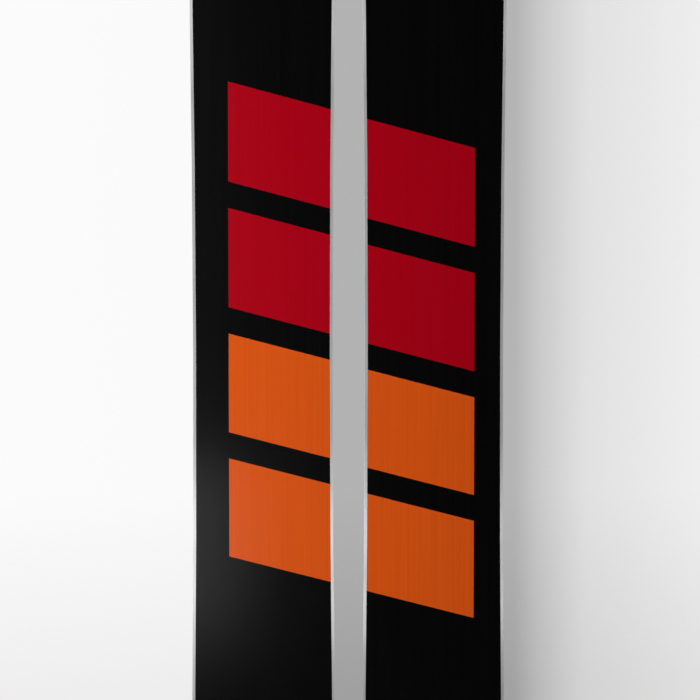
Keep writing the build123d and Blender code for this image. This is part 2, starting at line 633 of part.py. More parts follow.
def toe_wing(sign):
    """One wing: a side wall with a lip over the boot's toe."""
    wall = wing_plan(TOE_POCKET_RADIUS) & wide_slab(TOE_PLATE_WIDTH * 2, (WING_LOW_Y, WING_LIP_Y),
                                                    (TOE_Z + WING_REAR, TOE_Z + HOUSING_FRONT))
    lip = wing_plan(TOE_POCKET_RADIUS - WING_LIP_REACH) & wide_slab(
        TOE_PLATE_WIDTH * 2, (WING_LIP_Y, WING_HIGH_Y), (TOE_Z + WING_REAR, TOE_Z + HOUSING_FRONT))
    wing = wall + lip - pin_holes(PIN_CLEARANCE)
    return wing if sign > 0 else wing.mirror(Plane.YZ)


# ---------------------------------------------------------------------------------- heel unit

def behind(distance):
    """A distance back from the boot's heel, as a place along the ski."""
    return HEEL_Z - distance


def heel_track(places):
    """The screwed-down track with its overhanging head and the rack that sets the heel's place."""
    z = (behind(TRACK_REAR), behind(TRACK_FRONT))
    foot = wide_slab(TRACK_FOOT_WIDTH, (DECK_Y, TRACK_HEAD_Y), z)
    head = wide_slab(TRACK_HEAD_WIDTH, (TRACK_HEAD_Y, TRACK_TOP_Y), z)
    middle_z = (z[0] + z[1]) / 2
    first = middle_z - RACK_SLOT_PITCH * (RACK_SLOT_COUNT - 1) / 2
    rack = [Pos(0, TRACK_TOP_Y, first + number * RACK_SLOT_PITCH)
            * Box(RACK_SLOT_WIDTH, 2 * RACK_SLOT_DEPTH, RACK_SLOT_LENGTH) for number in range(RACK_SLOT_COUNT)]
    holes, bores = screw_seats(places, TRACK_TOP_Y - SCREW_HEAD_HEIGHT, TRACK_TOP_Y)
    return foot + head - rack - holes - bores


def heel_carriage():
    """What slides on the track: a bridge with hooked sides, two heel rests and two pivot ears."""
    z = (behind(CARRIAGE_REAR), behind(CARRIAGE_FRONT))
    bridge = rounded(wide_slab(2 * CARRIAGE_OUTER_X, (CARRIAGE_LOW_Y, CARRIAGE_HIGH_Y), z), Axis.Y,
                     CARRIAGE_CORNER)
    body = bridge
    hook_high = TRACK_HEAD_Y - SLIDE_CLEARANCE
    pad_front = behind(CARRIAGE_FRONT)
    for sign in (-1, 1):
        wall = slab(sorted((sign * CARRIAGE_INNER_X, sign * CARRIAGE_OUTER_X)),
                    (hook_high - HOOK_THICKNESS, CARRIAGE_LOW_Y), (z[0] + CARRIAGE_CORNER, z[1] - CARRIAGE_CORNER))
        hook = slab(sorted((sign * (TRACK_FOOT_WIDTH / 2 + SLIDE_CLEARANCE), sign * CARRIAGE_OUTER_X)),
                    (hook_high - HOOK_THICKNESS, hook_high), (z[0] + CARRIAGE_CORNER, z[1] - CARRIAGE_CORNER))
        pad = slab(sorted((sign * (REST_PAD_OUTER - REST_PAD_WIDTH), sign * REST_PAD_OUTER)),
                   (CARRIAGE_HIGH_Y, SOLE_Y), (pad_front - REST_PAD_LENGTH, pad_front - CARRIAGE_CORNER))
        ear_x = sorted((sign * (EAR_OUTER_X - EAR_THICKNESS), sign * EAR_OUTER_X))
        ear = slab(ear_x, (CARRIAGE_HIGH_Y, PIVOT_Y), (PIVOT_Z - EAR_RADIUS, PIVOT_Z + EAR_RADIUS))
        ear = ear + bar(PIVOT_Y, PIVOT_Z, EAR_RADIUS, ear_x)
        body = body + wall + hook + pad + ear
    return body - bar(PIVOT_Y, PIVOT_Z, PIVOT_RADIUS + PIN_CLEARANCE, (-PIVOT_LENGTH, PIVOT_LENGTH))


def heel_pivot_pin():
    """The pin that the heel cup opens on."""
    return bar(PIVOT_Y, PIVOT_Z, PIVOT_RADIUS, (-PIVOT_LENGTH / 2, PIVOT_LENGTH / 2))


def heel_cup():
    """The swinging heel: a body with the spring's bore, a cup round the boot's heel, and a pedal."""
    points = [(DECK_Y + height, behind(back)) for back, height in CUP_SIDE]
    body = side_plate(points, (-CUP_WIDTH / 2, CUP_WIDTH / 2))
    front_y = (SOLE_Y + SLIDE_CLEARANCE, CUP_LIP_Y + CUP_LIP_THICKNESS)
    front = rounded(wide_slab(CUP_FRONT_WIDTH, front_y, (behind(CUP_FRONT_BACK), behind(CUP_FRONT_REACH))),
                    Axis.Z, CUP_CORNER)
    pedal_y = (SOLE_Y - PEDAL_TOP_DROP - PEDAL_THICKNESS, SOLE_Y - PEDAL_TOP_DROP)
    pedal = wide_slab(PEDAL_WIDTH, pedal_y, (behind(CUP_FRONT_BACK), behind(PEDAL_REACH)))
    pocket = post(0, CUP_POCKET_Z, CUP_POCKET_RADIUS, (pedal_y[1], CUP_LIP_Y))
    lip_pocket = post(0, CUP_POCKET_Z, CUP_POCKET_RADIUS - CUP_LIP_REACH, (CUP_LIP_Y, front_y[1] + OVERRUN))
    bore = barrel(HEEL_BARREL_Y, BORE_RADIUS, (behind(HEEL_BORE_REAR), behind(HEEL_BORE_FRONT)))
    cup = body + front + pedal - pocket - lip_pocket - bore
    for sign in (-1, 1):
        lug_x = sorted((sign * LUG_INNER, sign * (LUG_INNER + LUG_THICKNESS)))
        lug = slab(lug_x, (DECK_Y + CUP_TOP - LUG_RADIUS, LEVER_HINGE_Y),
                   (LEVER_HINGE_Z - LUG_RADIUS, LEVER_HINGE_Z + LUG_RADIUS))
        cup = cup + lug + bar(LEVER_HINGE_Y, LEVER_HINGE_Z, LUG_RADIUS, lug_x)
    reach = LUG_INNER + LUG_THICKNESS + OVERRUN
    hinge = bar(LEVER_HINGE_Y, LEVER_HINGE_Z, LEVER_STUB_RADIUS + PIN_CLEARANCE, (-reach, reach))
    pivot = bar(PIVOT_Y, PIVOT_Z, PIVOT_RADIUS + PIN_CLEARANCE, (-PIVOT_LENGTH, PIVOT_LENGTH))
    return cup - hinge - pivot


def heel_spring_and_screw():
    """The heel's release spring, and the screw that sets it from the rear."""
    rear = behind(HEEL_BORE_REAR)
    seat = rear + SETTING_SCREW_LENGTH - SETTING_SCREW_PROUD
    coil = spring(HEEL_BARREL_Y, (seat, behind(HEEL_BORE_FRONT)))
    return coil, setting_screw(HEEL_BARREL_Y, seat, rear - SETTING_SCREW_PROUD)


def heel_lever():
    """The lever that opens the heel, with moulded stub axles and a dished pad for a pole's tip."""
    half_width = LEVER_WIDTH / 2
    hub = bar(LEVER_HINGE_Y, LEVER_HINGE_Z, LEVER_HUB_RADIUS, (-half_width, half_width))
    stub_reach = LUG_INNER + LUG_THICKNESS
    stubs = bar(LEVER_HINGE_Y, LEVER_HINGE_Z, LEVER_STUB_RADIUS, (-stub_reach, stub_reach))
    tip_y = LEVER_HINGE_Y + LEVER_ARM_RISE
    tip_z = LEVER_HINGE_Z - LEVER_ARM_REACH
    half = LEVER_ARM_THICKNESS / 2
    arm = side_plate([(LEVER_HINGE_Y - half, LEVER_HINGE_Z), (LEVER_HINGE_Y + half, LEVER_HINGE_Z),
                      (tip_y + half, tip_z), (tip_y - half, tip_z)], (-half_width, half_width))
    share = LEVER_PAD_LENGTH / LEVER_ARM_REACH
    root_y = tip_y - LEVER_ARM_RISE * share
    root_z = tip_z + LEVER_PAD_LENGTH
    pad = side_plate([(root_y - half, root_z), (root_y + half, root_z), (tip_y + half, tip_z),
                      (tip_y - half, tip_z)], (-LEVER_PAD_WIDTH / 2, LEVER_PAD_WIDTH / 2))
    dish_y = (root_y + tip_y) / 2 + half + LEVER_DISH_RADIUS - LEVER_DISH_DEPTH
    dish = Pos(0, dish_y, (root_z + tip_z) / 2) * Sphere(LEVER_DISH_RADIUS)
    return hub + stubs + arm + pad - dish


# ---------------------------------------------------------------------------------- the whole pair

def bindings():
    """Every piece of one binding, by name."""
    toe_places, heel_places = binding_screw_places()
    toe_spring, toe_screw = toe_spring_and_screw()
    heel_spring, heel_screw = heel_spring_and_screw()
    return {
        "toe_base_plate": toe_base_plate(toe_places),
        "toe_housing": toe_housing(),
        "toe_wing_left": toe_wing(-1),
        "toe_wing_right": toe_wing(1),
        "toe_wing_pins": wing_pins(),
        "toe_spring": toe_spring,
        "toe_setting_screw": toe_screw,
        "antifriction_plate": antifriction_plate(),
        "toe_screws": screws(toe_places, TOE_PLATE_Y - SCREW_HEAD_HEIGHT),
        "heel_track": heel_track(heel_places),
        "heel_carriage": heel_carriage(),
        "heel_pivot_pin": heel_pivot_pin(),
        "heel_cup": heel_cup(),
        "heel_lever": heel_lever(),
        "heel_spring": heel_spring,
        "heel_setting_screw": heel_screw,
        "heel_screws": screws(heel_places, TRACK_TOP_Y - SCREW_HEAD_HEIGHT),
    }


def node_name(side, piece):
    """A piece's name on one ski: what lies left or right becomes inner or outer."""
    inner = "right" if side == "left" else "left"
    for end, word in ((inner, "inner"), (side, "outer")):
        if piece.endswith("_" + end):
            return f"{side}_{piece[:-len(end)]}{word}"
    return f"{side}_{piece}"


def pair_places(pieces):
    """Where the two skis' own frames stand, so that the pair's origin is below its box's middle."""
    boxes = [piece.bounding_box() for piece in pieces]
    low = min(box.min.Y for box in boxes)
    high = max(box.max.Y for box in boxes)
    return {side: (sign * SKI_SPACING / 2, -(low + high) / 2, REAR_LENGTH)
            for side, sign in (("left", -1), ("right", 1))}


def build_pair():
    """Every piece of both skis, by name, in the pair's frame."""
    shapes = Outlines()
    shared = {**ski_layers(shapes), **bindings()}
    places = pair_places(shared.values())
    pair = {}
    for side, place in places.items():
        for piece, solid in {**shared, **running_base(shapes, place[0])}.items():
            pair[node_name(side, piece)] = Pos(*place) * solid
    return pair


def write_parts(pair):
    """One STEP file for each piece."""
    os.makedirs("parts", exist_ok=True)
    for name, piece in pair.items():
        export_step(Compound(children=piece.solids()), f"parts/{name}.step")


write_parts(build_pair())
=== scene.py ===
"""The looks of a pair of alpine skis with step-in bindings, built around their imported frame."""

import logging
import math
from dataclasses import dataclass, field
from enum import Enum

import bmesh
import bpy
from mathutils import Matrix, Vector


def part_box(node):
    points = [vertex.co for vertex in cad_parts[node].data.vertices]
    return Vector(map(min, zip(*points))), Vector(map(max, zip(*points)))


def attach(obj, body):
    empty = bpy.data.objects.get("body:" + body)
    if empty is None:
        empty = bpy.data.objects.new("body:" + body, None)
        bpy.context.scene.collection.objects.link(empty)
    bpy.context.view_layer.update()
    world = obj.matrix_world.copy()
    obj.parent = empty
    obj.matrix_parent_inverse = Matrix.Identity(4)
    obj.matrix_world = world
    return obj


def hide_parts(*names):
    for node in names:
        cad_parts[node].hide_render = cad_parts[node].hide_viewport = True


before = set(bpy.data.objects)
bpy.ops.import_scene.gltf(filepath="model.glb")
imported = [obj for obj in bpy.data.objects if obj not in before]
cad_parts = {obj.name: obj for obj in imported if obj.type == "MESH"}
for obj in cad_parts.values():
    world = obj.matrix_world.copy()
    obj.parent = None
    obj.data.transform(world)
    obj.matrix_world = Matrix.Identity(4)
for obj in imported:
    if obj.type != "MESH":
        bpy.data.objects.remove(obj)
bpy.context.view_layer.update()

LOG = logging.getLogger("skis")
MM = 0.001
ROUNDING_SEGMENTS = 2
ROUNDING_ANGLE = 40.0             # edges that turn by more than this, in degrees, are rounded
Colour = tuple[float, float, float]
Stops = tuple[tuple[float, float], ...]


class Side(Enum):
    """Which ski of the pair."""

    LEFT = "left"
    RIGHT = "right"

    def node(self, piece: str) -> str:
        """The name of one of this ski's nodes or bodies."""
        return f"{self.value}_{piece}"


class Grain(Enum):
    """How a moulded or cast surface feels, as (noise scale per metre, bump depth in metres)."""

    SATIN = (1400.0, 0.00002)
    LEATHERED = (900.0, 0.00006)
    CAST = (500.0, 0.00004)


def srgb(red: float, green: float, blue: float) -> Colour:
    """Turns a colour as a screen shows it, 0 to 255, into the light it stands for.

    Args:
        red: the red channel.
        green: the green channel.
        blue: the blue channel.

    Returns:
        The linear colour, 0 to 1.
    """
    def linear(value: float) -> float:
        """One channel, by the screen's curve."""
        share = value / 255
        return share / 12.92 if share <= 0.04045 else ((share + 0.055) / 1.055) ** 2.4

    return linear(red), linear(green), linear(blue)


def blocks_height() -> float:
    """The height of the colour blocks' middle."""
    return (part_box("right_orange_inlays")[0][2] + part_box("left_red_inlays")[1][2]) / 2


# ------------------------------------------------------------------------------------- finishes


@dataclass(frozen=True)
class Pattern:
    """A noise: how often it repeats per metre across a ski and along it, and how many finer layers it has."""

    across: float
    along: float
    detail: float
    turn: float = 0.0             # about Y, in degrees


class Graph:
    """A new node material, with short ways to add its nodes."""

    def __init__(self, name: str) -> None:
        """Starts a material with an output node only.

        Args:
            name: the material's name.
        """
        self.material = bpy.data.materials.new(name)
        self.material.use_nodes = True
        self.nodes = self.material.node_tree.nodes
        self.nodes.clear()
        self.output = self.nodes.new("ShaderNodeOutputMaterial")

    def add(self, kind: str, **settings: object) -> bpy.types.Node:
        """Adds a node.

        Args:
            kind: the node's type, without its ShaderNode prefix.
            settings: properties to set on the node.

        Returns:
            The new node.
        """
        node = self.nodes.new("ShaderNode" + kind)
        for name, value in settings.items():
            setattr(node, name, value)
        return node

    def link(self, out: bpy.types.NodeSocket, into: bpy.types.NodeSocket) -> None:
        """Joins two sockets."""
        self.material.node_tree.links.new(out, into)

    def place(self, scale: tuple[float, float, float], turn: float = 0.0) -> bpy.types.NodeSocket:
        """The place on the object, stretched.

        Args:
            scale: how often a pattern repeats per metre along X, Y and Z.
            turn: a turn of the pattern about Y, in degrees.

        Returns:
            The socket of the stretched place.
        """
        mapping = self.add("Mapping")
        mapping.inputs["Scale"].default_value = scale
        mapping.inputs["Rotation"].default_value = (0.0, math.radians(turn), 0.0)
        self.link(self.add("TexCoord").outputs["Object"], mapping.inputs["Vector"])
        return mapping.outputs["Vector"]

    def noise(self, pattern: Pattern) -> bpy.types.NodeSocket:
        """A noise value, mostly between 0.3 and 0.7.

        Args:
            pattern: the noise's pattern.

        Returns:
            The socket of the value.
        """
        texture = self.add("TexNoise")
        texture.inputs["Scale"].default_value = 1.0
        texture.inputs["Detail"].default_value = pattern.detail
        place = self.place((pattern.across, pattern.across, pattern.along), pattern.turn)
        self.link(place, texture.inputs["Vector"])
        return texture.outputs["Fac"]

    def mix(self, one: bpy.types.NodeSocket, two: bpy.types.NodeSocket,
            share: float = 0.5) -> bpy.types.NodeSocket:
        """A value between two others.

        Args:
            one: the first value's socket.
            two: the second value's socket.
            share: how much of the second it takes.

        Returns:
            The socket of the value.
        """
        node = self.add("Mix", data_type="FLOAT")
        node.inputs["Factor"].default_value = share
        self.link(one, node.inputs["A"])
        self.link(two, node.inputs["B"])
        return node.outputs["Result"]

    def product(self, one: bpy.types.NodeSocket, two: bpy.types.NodeSocket) -> bpy.types.NodeSocket:
        """A colour multiplied by another.

        Args:
            one: the first colour's socket.
            two: the second colour's socket.

        Returns:
            The socket of the colour.
        """
        node = self.add("Mix", data_type="RGBA", blend_type="MULTIPLY")
        node.inputs["Factor"].default_value = 1.0
        into = {socket.identifier: socket for socket in node.inputs}
        self.link(one, into["A_Color"])
        self.link(two, into["B_Color"])
        return next(socket for socket in node.outputs if socket.identifier == "Result_Color")

    def blend(self, share: bpy.types.NodeSocket, low: Colour, high: Colour,
              reach: tuple[float, float] = (0.3, 0.7)) -> bpy.types.NodeSocket:
        """A colour between two, by a value.

        Args:
            share: the value's socket.
            low: the colour at the reach's low end.
            high: the colour at its high end.
            reach: the two values between which the colour changes.

        Returns:
            The socket of the colour.
        """
        ramp = self.add("ValToRGB")
        for stop, place, colour in zip(ramp.color_ramp.elements, reach, (low, high)):
            stop.position = place
            stop.color = (*colour, 1.0)
        self.link(share, ramp.inputs["Fac"])
        return ramp.outputs["Color"]

    def along(self, axis: str, stops: Stops) -> bpy.types.NodeSocket:
        """A brightness that changes from place to place along an axis.

        Args:
            axis: X, Y or Z.
            stops: (place in metres, brightness from 0 to 1) pairs, in order.

        Returns:
            The socket of the grey colour.
        """
        first, last = stops[0][0], stops[-1][0]
        spread = self.add("MapRange")
        spread.inputs["From Min"].default_value = first
        spread.inputs["From Max"].default_value = last
        self.link(self.coordinate(axis), spread.inputs["Value"])
        ramp = self.add("ValToRGB")
        elements = ramp.color_ramp.elements
        while len(elements) < len(stops):
            elements.new(0.5)
        for element, (place, shade) in zip(elements, stops):
            element.position = (place - first) / (last - first)
            element.color = (shade, shade, shade, 1.0)
        self.link(spread.outputs["Result"], ramp.inputs["Fac"])
        return ramp.outputs["Color"]

    def coordinate(self, axis: str) -> bpy.types.NodeSocket:
        """The place along one axis, in metres.

        Args:
            axis: X, Y or Z.

        Returns:
            The socket of the value.
        """
        split = self.add("SeparateXYZ")
        self.link(self.add("TexCoord").outputs["Object"], split.inputs["Vector"])
        return split.outputs[axis]

    def level(self, share: bpy.types.NodeSocket, low: float, high: float) -> bpy.types.NodeSocket:
        """A value moved from 0..1 to low..high.

        Args:
            share: the value's socket.
            low: what 0 becomes.
            high: what 1 becomes.

        Returns:
            The socket of the moved value.
        """
        spread = self.add("MapRange")
        spread.inputs["To Min"].default_value = low
        spread.inputs["To Max"].default_value = high
        self.link(share, spread.inputs["Value"])
        return spread.outputs["Result"]

    def bump(self, height: bpy.types.NodeSocket, depth: float, strength: float,
             under: bpy.types.NodeSocket | None = None) -> bpy.types.NodeSocket:
        """A surface raised by a value.

        Args:
            height: the value's socket.
            depth: how far it raises, in metres.
            strength: how much of that shows.
            under: another bump's normal that this one adds to.

        Returns:
            The socket of the normal.
        """
        node = self.add("Bump")
        node.inputs["Distance"].default_value = depth
        node.inputs["Strength"].default_value = strength
        self.link(height, node.inputs["Height"])
        if under is not None:
            self.link(under, node.inputs["Normal"])
        return node.outputs["Normal"]

    def surface(self, metallic: float = 0.0, specular: float = 0.5) -> bpy.types.Node:
        """The shader itself, joined to the output.

        Args:
            metallic: 1 for bare metal, 0 for the rest.
            specular: how strongly the surface mirrors where it isn't metal.

        Returns:
            The shader node.
        """
        shader = self.add("BsdfPrincipled")
        shader.inputs["Metallic"].default_value = metallic
        shader.inputs["Specular IOR Level"].default_value = specular
        self.link(shader.outputs["BSDF"], self.output.inputs["Surface"])
        return shader


@dataclass(frozen=True)
class GroundSheet:
    """Running base: sintered sheet with the fine lengthwise structure that a stone grinds into it."""

    name: str
    colour: Colour
    pale: Colour
    gloss: float = 0.2
    lines: Pattern = Pattern(2600.0, 9.0, 2.0)
    streaks: Pattern = Pattern(520.0, 6.0, 5.0)
    patches: Pattern = Pattern(14.0, 7.0, 4.0)
    colour_reach: tuple[float, float] = (0.36, 0.66)
    roughness: tuple[float, float] = (0.12, 0.24)
    line_depth: float = 0.012 * MM
    line_bump: float = 0.55
    streak_depth: float = 0.024 * MM
    streak_bump: float = 0.3

    def build(self) -> bpy.types.Material:
        """Makes the material.

        Returns:
            The new material.
        """
        graph = Graph(self.name)
        shader = graph.surface(specular=self.gloss)
        lines = graph.noise(self.lines)
        streaks = graph.noise(self.streaks)
        patches = graph.noise(self.patches)
        colour = graph.blend(graph.mix(lines, streaks), self.colour, self.pale, self.colour_reach)
        graph.link(colour, shader.inputs["Base Color"])
        graph.link(graph.level(patches, *self.roughness), shader.inputs["Roughness"])
        fine = graph.bump(lines, self.line_depth, self.line_bump)
        graph.link(graph.bump(streaks, self.streak_depth, self.streak_bump, fine), shader.inputs["Normal"])
        return graph.material


@dataclass(frozen=True)
class GroundSteel:
    """Steel edge: ground along its length, with a painted highlight: brighter and duller stretches painted
    into its colour.

    The painted highlights are (height over the colour blocks' middle in metres, brightness) pairs from the
    lowest up; they stand in for the studio's reflections in the edges.
    """

    name: str = "edge_steel"
    # painted highlights along the edge, standing in for the studio's reflections in it
    painted_highlights: Stops = ((-0.26, 0.42), (-0.215, 0.66), (-0.18, 1.0), (-0.115, 1.0), (-0.06, 0.54), (0.1, 0.5),
                     (0.18, 0.52), (0.23, 0.76), (0.3, 0.52))
    # little metal, so that the painted highlights read white
    metallic: float = 0.15
    stretches: Pattern = Pattern(3.0, 22.0, 4.0)
    grind: Pattern = Pattern(600.0, 90.0, 3.0, 20.05)
    dull: Colour = (0.88, 0.88, 0.88)
    clear: Colour = (1.0, 1.0, 1.0)
    dull_reach: tuple[float, float] = (0.35, 0.6)
    roughness: tuple[float, float] = (0.3, 0.52)
    grind_depth: float = 0.01 * MM
    grind_bump: float = 0.3

    def build(self) -> bpy.types.Material:
        """Makes the material.

        Returns:
            The new material.
        """
        graph = Graph(self.name)
        shader = graph.surface(metallic=self.metallic)
        stretches = graph.noise(self.stretches)
        grind = graph.noise(self.grind)
        middle = blocks_height()
        # painted highlight: the brightness along Z stands in for reflections, it is not polish
        painted_highlights = graph.along("Z", tuple((middle + place, shade) for place, shade in self.painted_highlights))
        worn = graph.blend(stretches, self.dull, self.clear, self.dull_reach)
        graph.link(graph.product(painted_highlights, worn), shader.inputs["Base Color"])
        graph.link(graph.level(grind, *self.roughness), shader.inputs["Roughness"])
        graph.link(graph.bump(grind, self.grind_depth, self.grind_bump), shader.inputs["Normal"])
        return graph.material


@dataclass(frozen=True)
class Moulding:
    """Moulded plastic, cast and painted metal, or rubber."""

    name: str
    colour: Colour
    worn: Colour
    roughness: float
    grain: Grain = Grain.SATIN
    metallic: float = 0.0
    clearcoat: float = 0.0
    wear: Pattern = Pattern(38.0, 38.0, 6.0)
    wear_reach: tuple[float, float] = (0.42, 0.72)
    smoother: float = 0.08
    rougher: float = 0.1
    grain_detail: float = 2.0
    grain_bump: float = 0.5

    def build(self) -> bpy.types.Material:
        """Makes the material.

        Returns:
            The new material.
        """
        graph = Graph(self.name)
        shader = graph.surface(metallic=self.metallic)
        shader.inputs["Coat Weight"].default_value = self.clearcoat
        scale, depth = self.grain.value
        grain = graph.noise(Pattern(scale, scale, self.grain_detail))
        wear = graph.noise(self.wear)
        roughness = graph.level(wear, self.roughness - self.smoother, self.roughness + self.rougher)
        graph.link(graph.blend(wear, self.colour, self.worn, self.wear_reach), shader.inputs["Base Color"])
        graph.link(roughness, shader.inputs["Roughness"])
        graph.link(graph.bump(grain, depth, self.grain_bump), shader.inputs["Normal"])
        return graph.material


@dataclass(frozen=True)
class Topsheet:
    """Satin topsheet over a woven carbon ply that shows faintly through it."""

    name: str = "topsheet_satin"
    dark: Colour = (0.005, 0.005, 0.006)
    pale: Colour = (0.014, 0.014, 0.016)
    colour_reach: tuple[float, float] = (0.1, 0.9)
    coat: float = 0.35
    coat_roughness: float = 0.16
    weave_scale: float = 400.0
    weave_turn: float = 45.0
    threads: Pattern = Pattern(1500.0, 200.0, 1.0, 45.0)
    thread_share: float = 0.4
    wear: Pattern = Pattern(30.0, 9.0, 5.0)
    roughness: tuple[float, float] = (0.28, 0.42)
    weave_depth: float = 0.02 * MM
    weave_bump: float = 0.2

    def build(self) -> bpy.types.Material:
        """Makes the material.

        Returns:
            The new material.
        """
        graph = Graph(self.name)
        shader = graph.surface()
        shader.inputs["Coat Weight"].default_value = self.coat
        shader.inputs["Coat Roughness"].default_value = self.coat_roughness
        weave = graph.add("TexChecker")
        weave.inputs["Scale"].default_value = 1.0
        graph.link(graph.place((self.weave_scale,) * 3, self.weave_turn), weave.inputs["Vector"])
        ply = graph.mix(weave.outputs["Fac"], graph.noise(self.threads), self.thread_share)
        graph.link(graph.blend(ply, self.dark, self.pale, self.colour_reach), shader.inputs["Base Color"])
        graph.link(graph.level(graph.noise(self.wear), *self.roughness), shader.inputs["Roughness"])
        graph.link(graph.bump(ply, self.weave_depth, self.weave_bump), shader.inputs["Normal"])
        return graph.material


@dataclass(frozen=True)
class Timber:
    """Core of glued strips of two woods."""

    name: str = "core_strips"
    heart: Colour = (0.42, 0.25, 0.11)
    sap: Colour = (0.66, 0.48, 0.27)
    gloss: float = 0.3
    roughness: float = 0.6
    strip_scale: tuple[float, float, float] = (16.0, 16.0, 0.0)
    grain: Pattern = Pattern(420.0, 14.0, 6.0)
    grain_depth: float = 0.05 * MM
    grain_bump: float = 0.4

    def build(self) -> bpy.types.Material:
        """Makes the material.

        Returns:
            The new material.
        """
        graph = Graph(self.name)
        shader = graph.surface(specular=self.gloss)
        shader.inputs["Roughness"].default_value = self.roughness
        strips = graph.add("TexWave", wave_type="BANDS", bands_direction="X")
        strips.inputs["Scale"].default_value = 1.0
        graph.link(graph.place(self.strip_scale), strips.inputs["Vector"])
        grain = graph.noise(self.grain)
        figure = graph.mix(strips.outputs["Fac"], grain)
        graph.link(graph.blend(figure, self.heart, self.sap), shader.inputs["Base Color"])
        graph.link(graph.bump(grain, self.grain_depth, self.grain_bump), shader.inputs["Normal"])
        return graph.material


@dataclass(frozen=True)
class BackdropPaint:
    """A glowing backdrop with painted light and shade: its brightness runs from left to right, with the
    pair's shadow painted as a darker band behind and right of the skis, and a painted shade falls off at its
    foot.

    The shades are (place along X in metres, brightness as a screen shows it) pairs, the foot is the two
    heights between which the painted shade falls off, and the foot's shades are (place along X, what is left)
    pairs.
    """

    shades: Stops
    foot: tuple[float, float]
    foot_painted_shade: Stops
    name: str = "backdrop_paint"

    def build(self) -> bpy.types.Material:
        """Makes the material.

        Returns:
            The new material.
        """
        graph = Graph(self.name)
        lit = tuple((place, srgb(shade, shade, shade)[0]) for place, shade in self.shades)
        # painted light and shade across: bright to the left, then the pair's painted shadow behind and right
        # of the skis
        across = graph.along("X", lit)
        fallen = graph.along("X", self.foot_painted_shade)
        # painted shade that darkens the backdrop's foot
        up = graph.add("MapRange")
        up.inputs["From Min"].default_value, up.inputs["From Max"].default_value = self.foot
        graph.link(graph.coordinate("Z"), up.inputs["Value"])
        graph.link(fallen, up.inputs["To Min"])
        glow = graph.add("Emission")
        graph.link(across, glow.inputs["Color"])
        graph.link(up.outputs["Result"], glow.inputs["Strength"])
        graph.link(glow.outputs["Emission"], graph.output.inputs["Surface"])
        return graph.material


@dataclass(frozen=True)
class FloorPaint:
    """Pale matt floor that fades out towards its rim, between two distances from the skis."""

    name: str = "floor_paint"
    fade: tuple[float, float] = (0.7, 1.75)
    pale: Colour = (0.56, 0.56, 0.56)
    dull: Colour = (0.532, 0.532, 0.532)
    patches: Pattern = Pattern(5.0, 5.0, 4.0)
    roughness: float = 0.7
    glow: float = 0.18

    def build(self) -> bpy.types.Material:
        """Makes the material.

        Returns:
            The new material.
        """
        graph = Graph(self.name)
        shader = graph.add("BsdfPrincipled")
        graph.link(graph.blend(graph.noise(self.patches), self.dull, self.pale), shader.inputs["Base Color"])
        shader.inputs["Roughness"].default_value = self.roughness
        shader.inputs["Emission Color"].default_value = (*self.pale, 1.0)
        shader.inputs["Emission Strength"].default_value = self.glow
        distance = graph.add("VectorMath", operation="LENGTH")
        graph.link(graph.add("TexCoord").outputs["Object"], distance.inputs[0])
        share = graph.add("MapRange", interpolation_type="SMOOTHSTEP")
        share.inputs["From Min"].default_value, share.inputs["From Max"].default_value = self.fade
        graph.link(distance.outputs["Value"], share.inputs["Value"])
        mix = graph.add("MixShader")
        graph.link(share.outputs["Result"], mix.inputs["Fac"])
        graph.link(shader.outputs["BSDF"], mix.inputs[1])
        graph.link(graph.add("BsdfTransparent").outputs["BSDF"], mix.inputs[2])
        graph.link(mix.outputs["Shader"], graph.output.inputs["Surface"])
        return graph.material


@dataclass
class Finishes:
    """Every material of the pair, made once."""

    black_base: bpy.types.Material = field(init=False)
    red_base: bpy.types.Material = field(init=False)
    orange_base: bpy.types.Material = field(init=False)
    edge_steel: bpy.types.Material = field(init=False)
    foil: bpy.types.Material = field(init=False)
    laminate: bpy.types.Material = field(init=False)
    timber: bpy.types.Material = field(init=False)
    sidewall: bpy.types.Material = field(init=False)
    topsheet: bpy.types.Material = field(init=False)
    nylon: bpy.types.Material = field(init=False)
    alloy: bpy.types.Material = field(init=False)
    accent: bpy.types.Material = field(init=False)
    zinc: bpy.types.Material = field(init=False)
    glide: bpy.types.Material = field(init=False)

    def __post_init__(self) -> None:
        """Builds the materials."""
        self.black_base = GroundSheet("base_black", (0.0014, 0.0014, 0.0015), (0.003, 0.003, 0.0031)).build()
        self.red_base = GroundSheet("base_red", (0.42, 0.0004, 0.0075), (0.47, 0.0008, 0.0105)).build()
        self.orange_base = GroundSheet("base_orange", (0.76, 0.094, 0.006), (0.835, 0.113, 0.009)).build()
        self.edge_steel = GroundSteel().build()
        self.foil = Moulding("damping_rubber", (0.01, 0.01, 0.01), (0.02, 0.02, 0.02), 0.7).build()
        self.laminate = Moulding("glass_laminate", (0.18, 0.2, 0.13), (0.3, 0.31, 0.22), 0.4).build()
        self.timber = Timber().build()
        self.sidewall = Moulding("sidewall_planed", (0.008, 0.008, 0.008), (0.016, 0.016, 0.016), 0.5).build()
        self.topsheet = Topsheet().build()
        self.nylon = Moulding("nylon_black", (0.012, 0.012, 0.013), (0.03, 0.03, 0.031), 0.42,
                              Grain.LEATHERED).build()
        self.alloy = Moulding("alloy_painted", (0.2, 0.2, 0.21), (0.27, 0.27, 0.28), 0.34, Grain.CAST,
                              metallic=0.85, clearcoat=0.3).build()
        self.accent = Moulding("nylon_red", (0.38, 0.004, 0.01), (0.46, 0.012, 0.02), 0.36).build()
        self.zinc = Moulding("zinc_steel", (0.5, 0.5, 0.49), (0.66, 0.66, 0.64), 0.28, metallic=1.0).build()
        self.glide = Moulding("glide_plate", (0.46, 0.46, 0.44), (0.56, 0.56, 0.54), 0.26).build()


# ------------------------------------------------------------------------------------- the skis


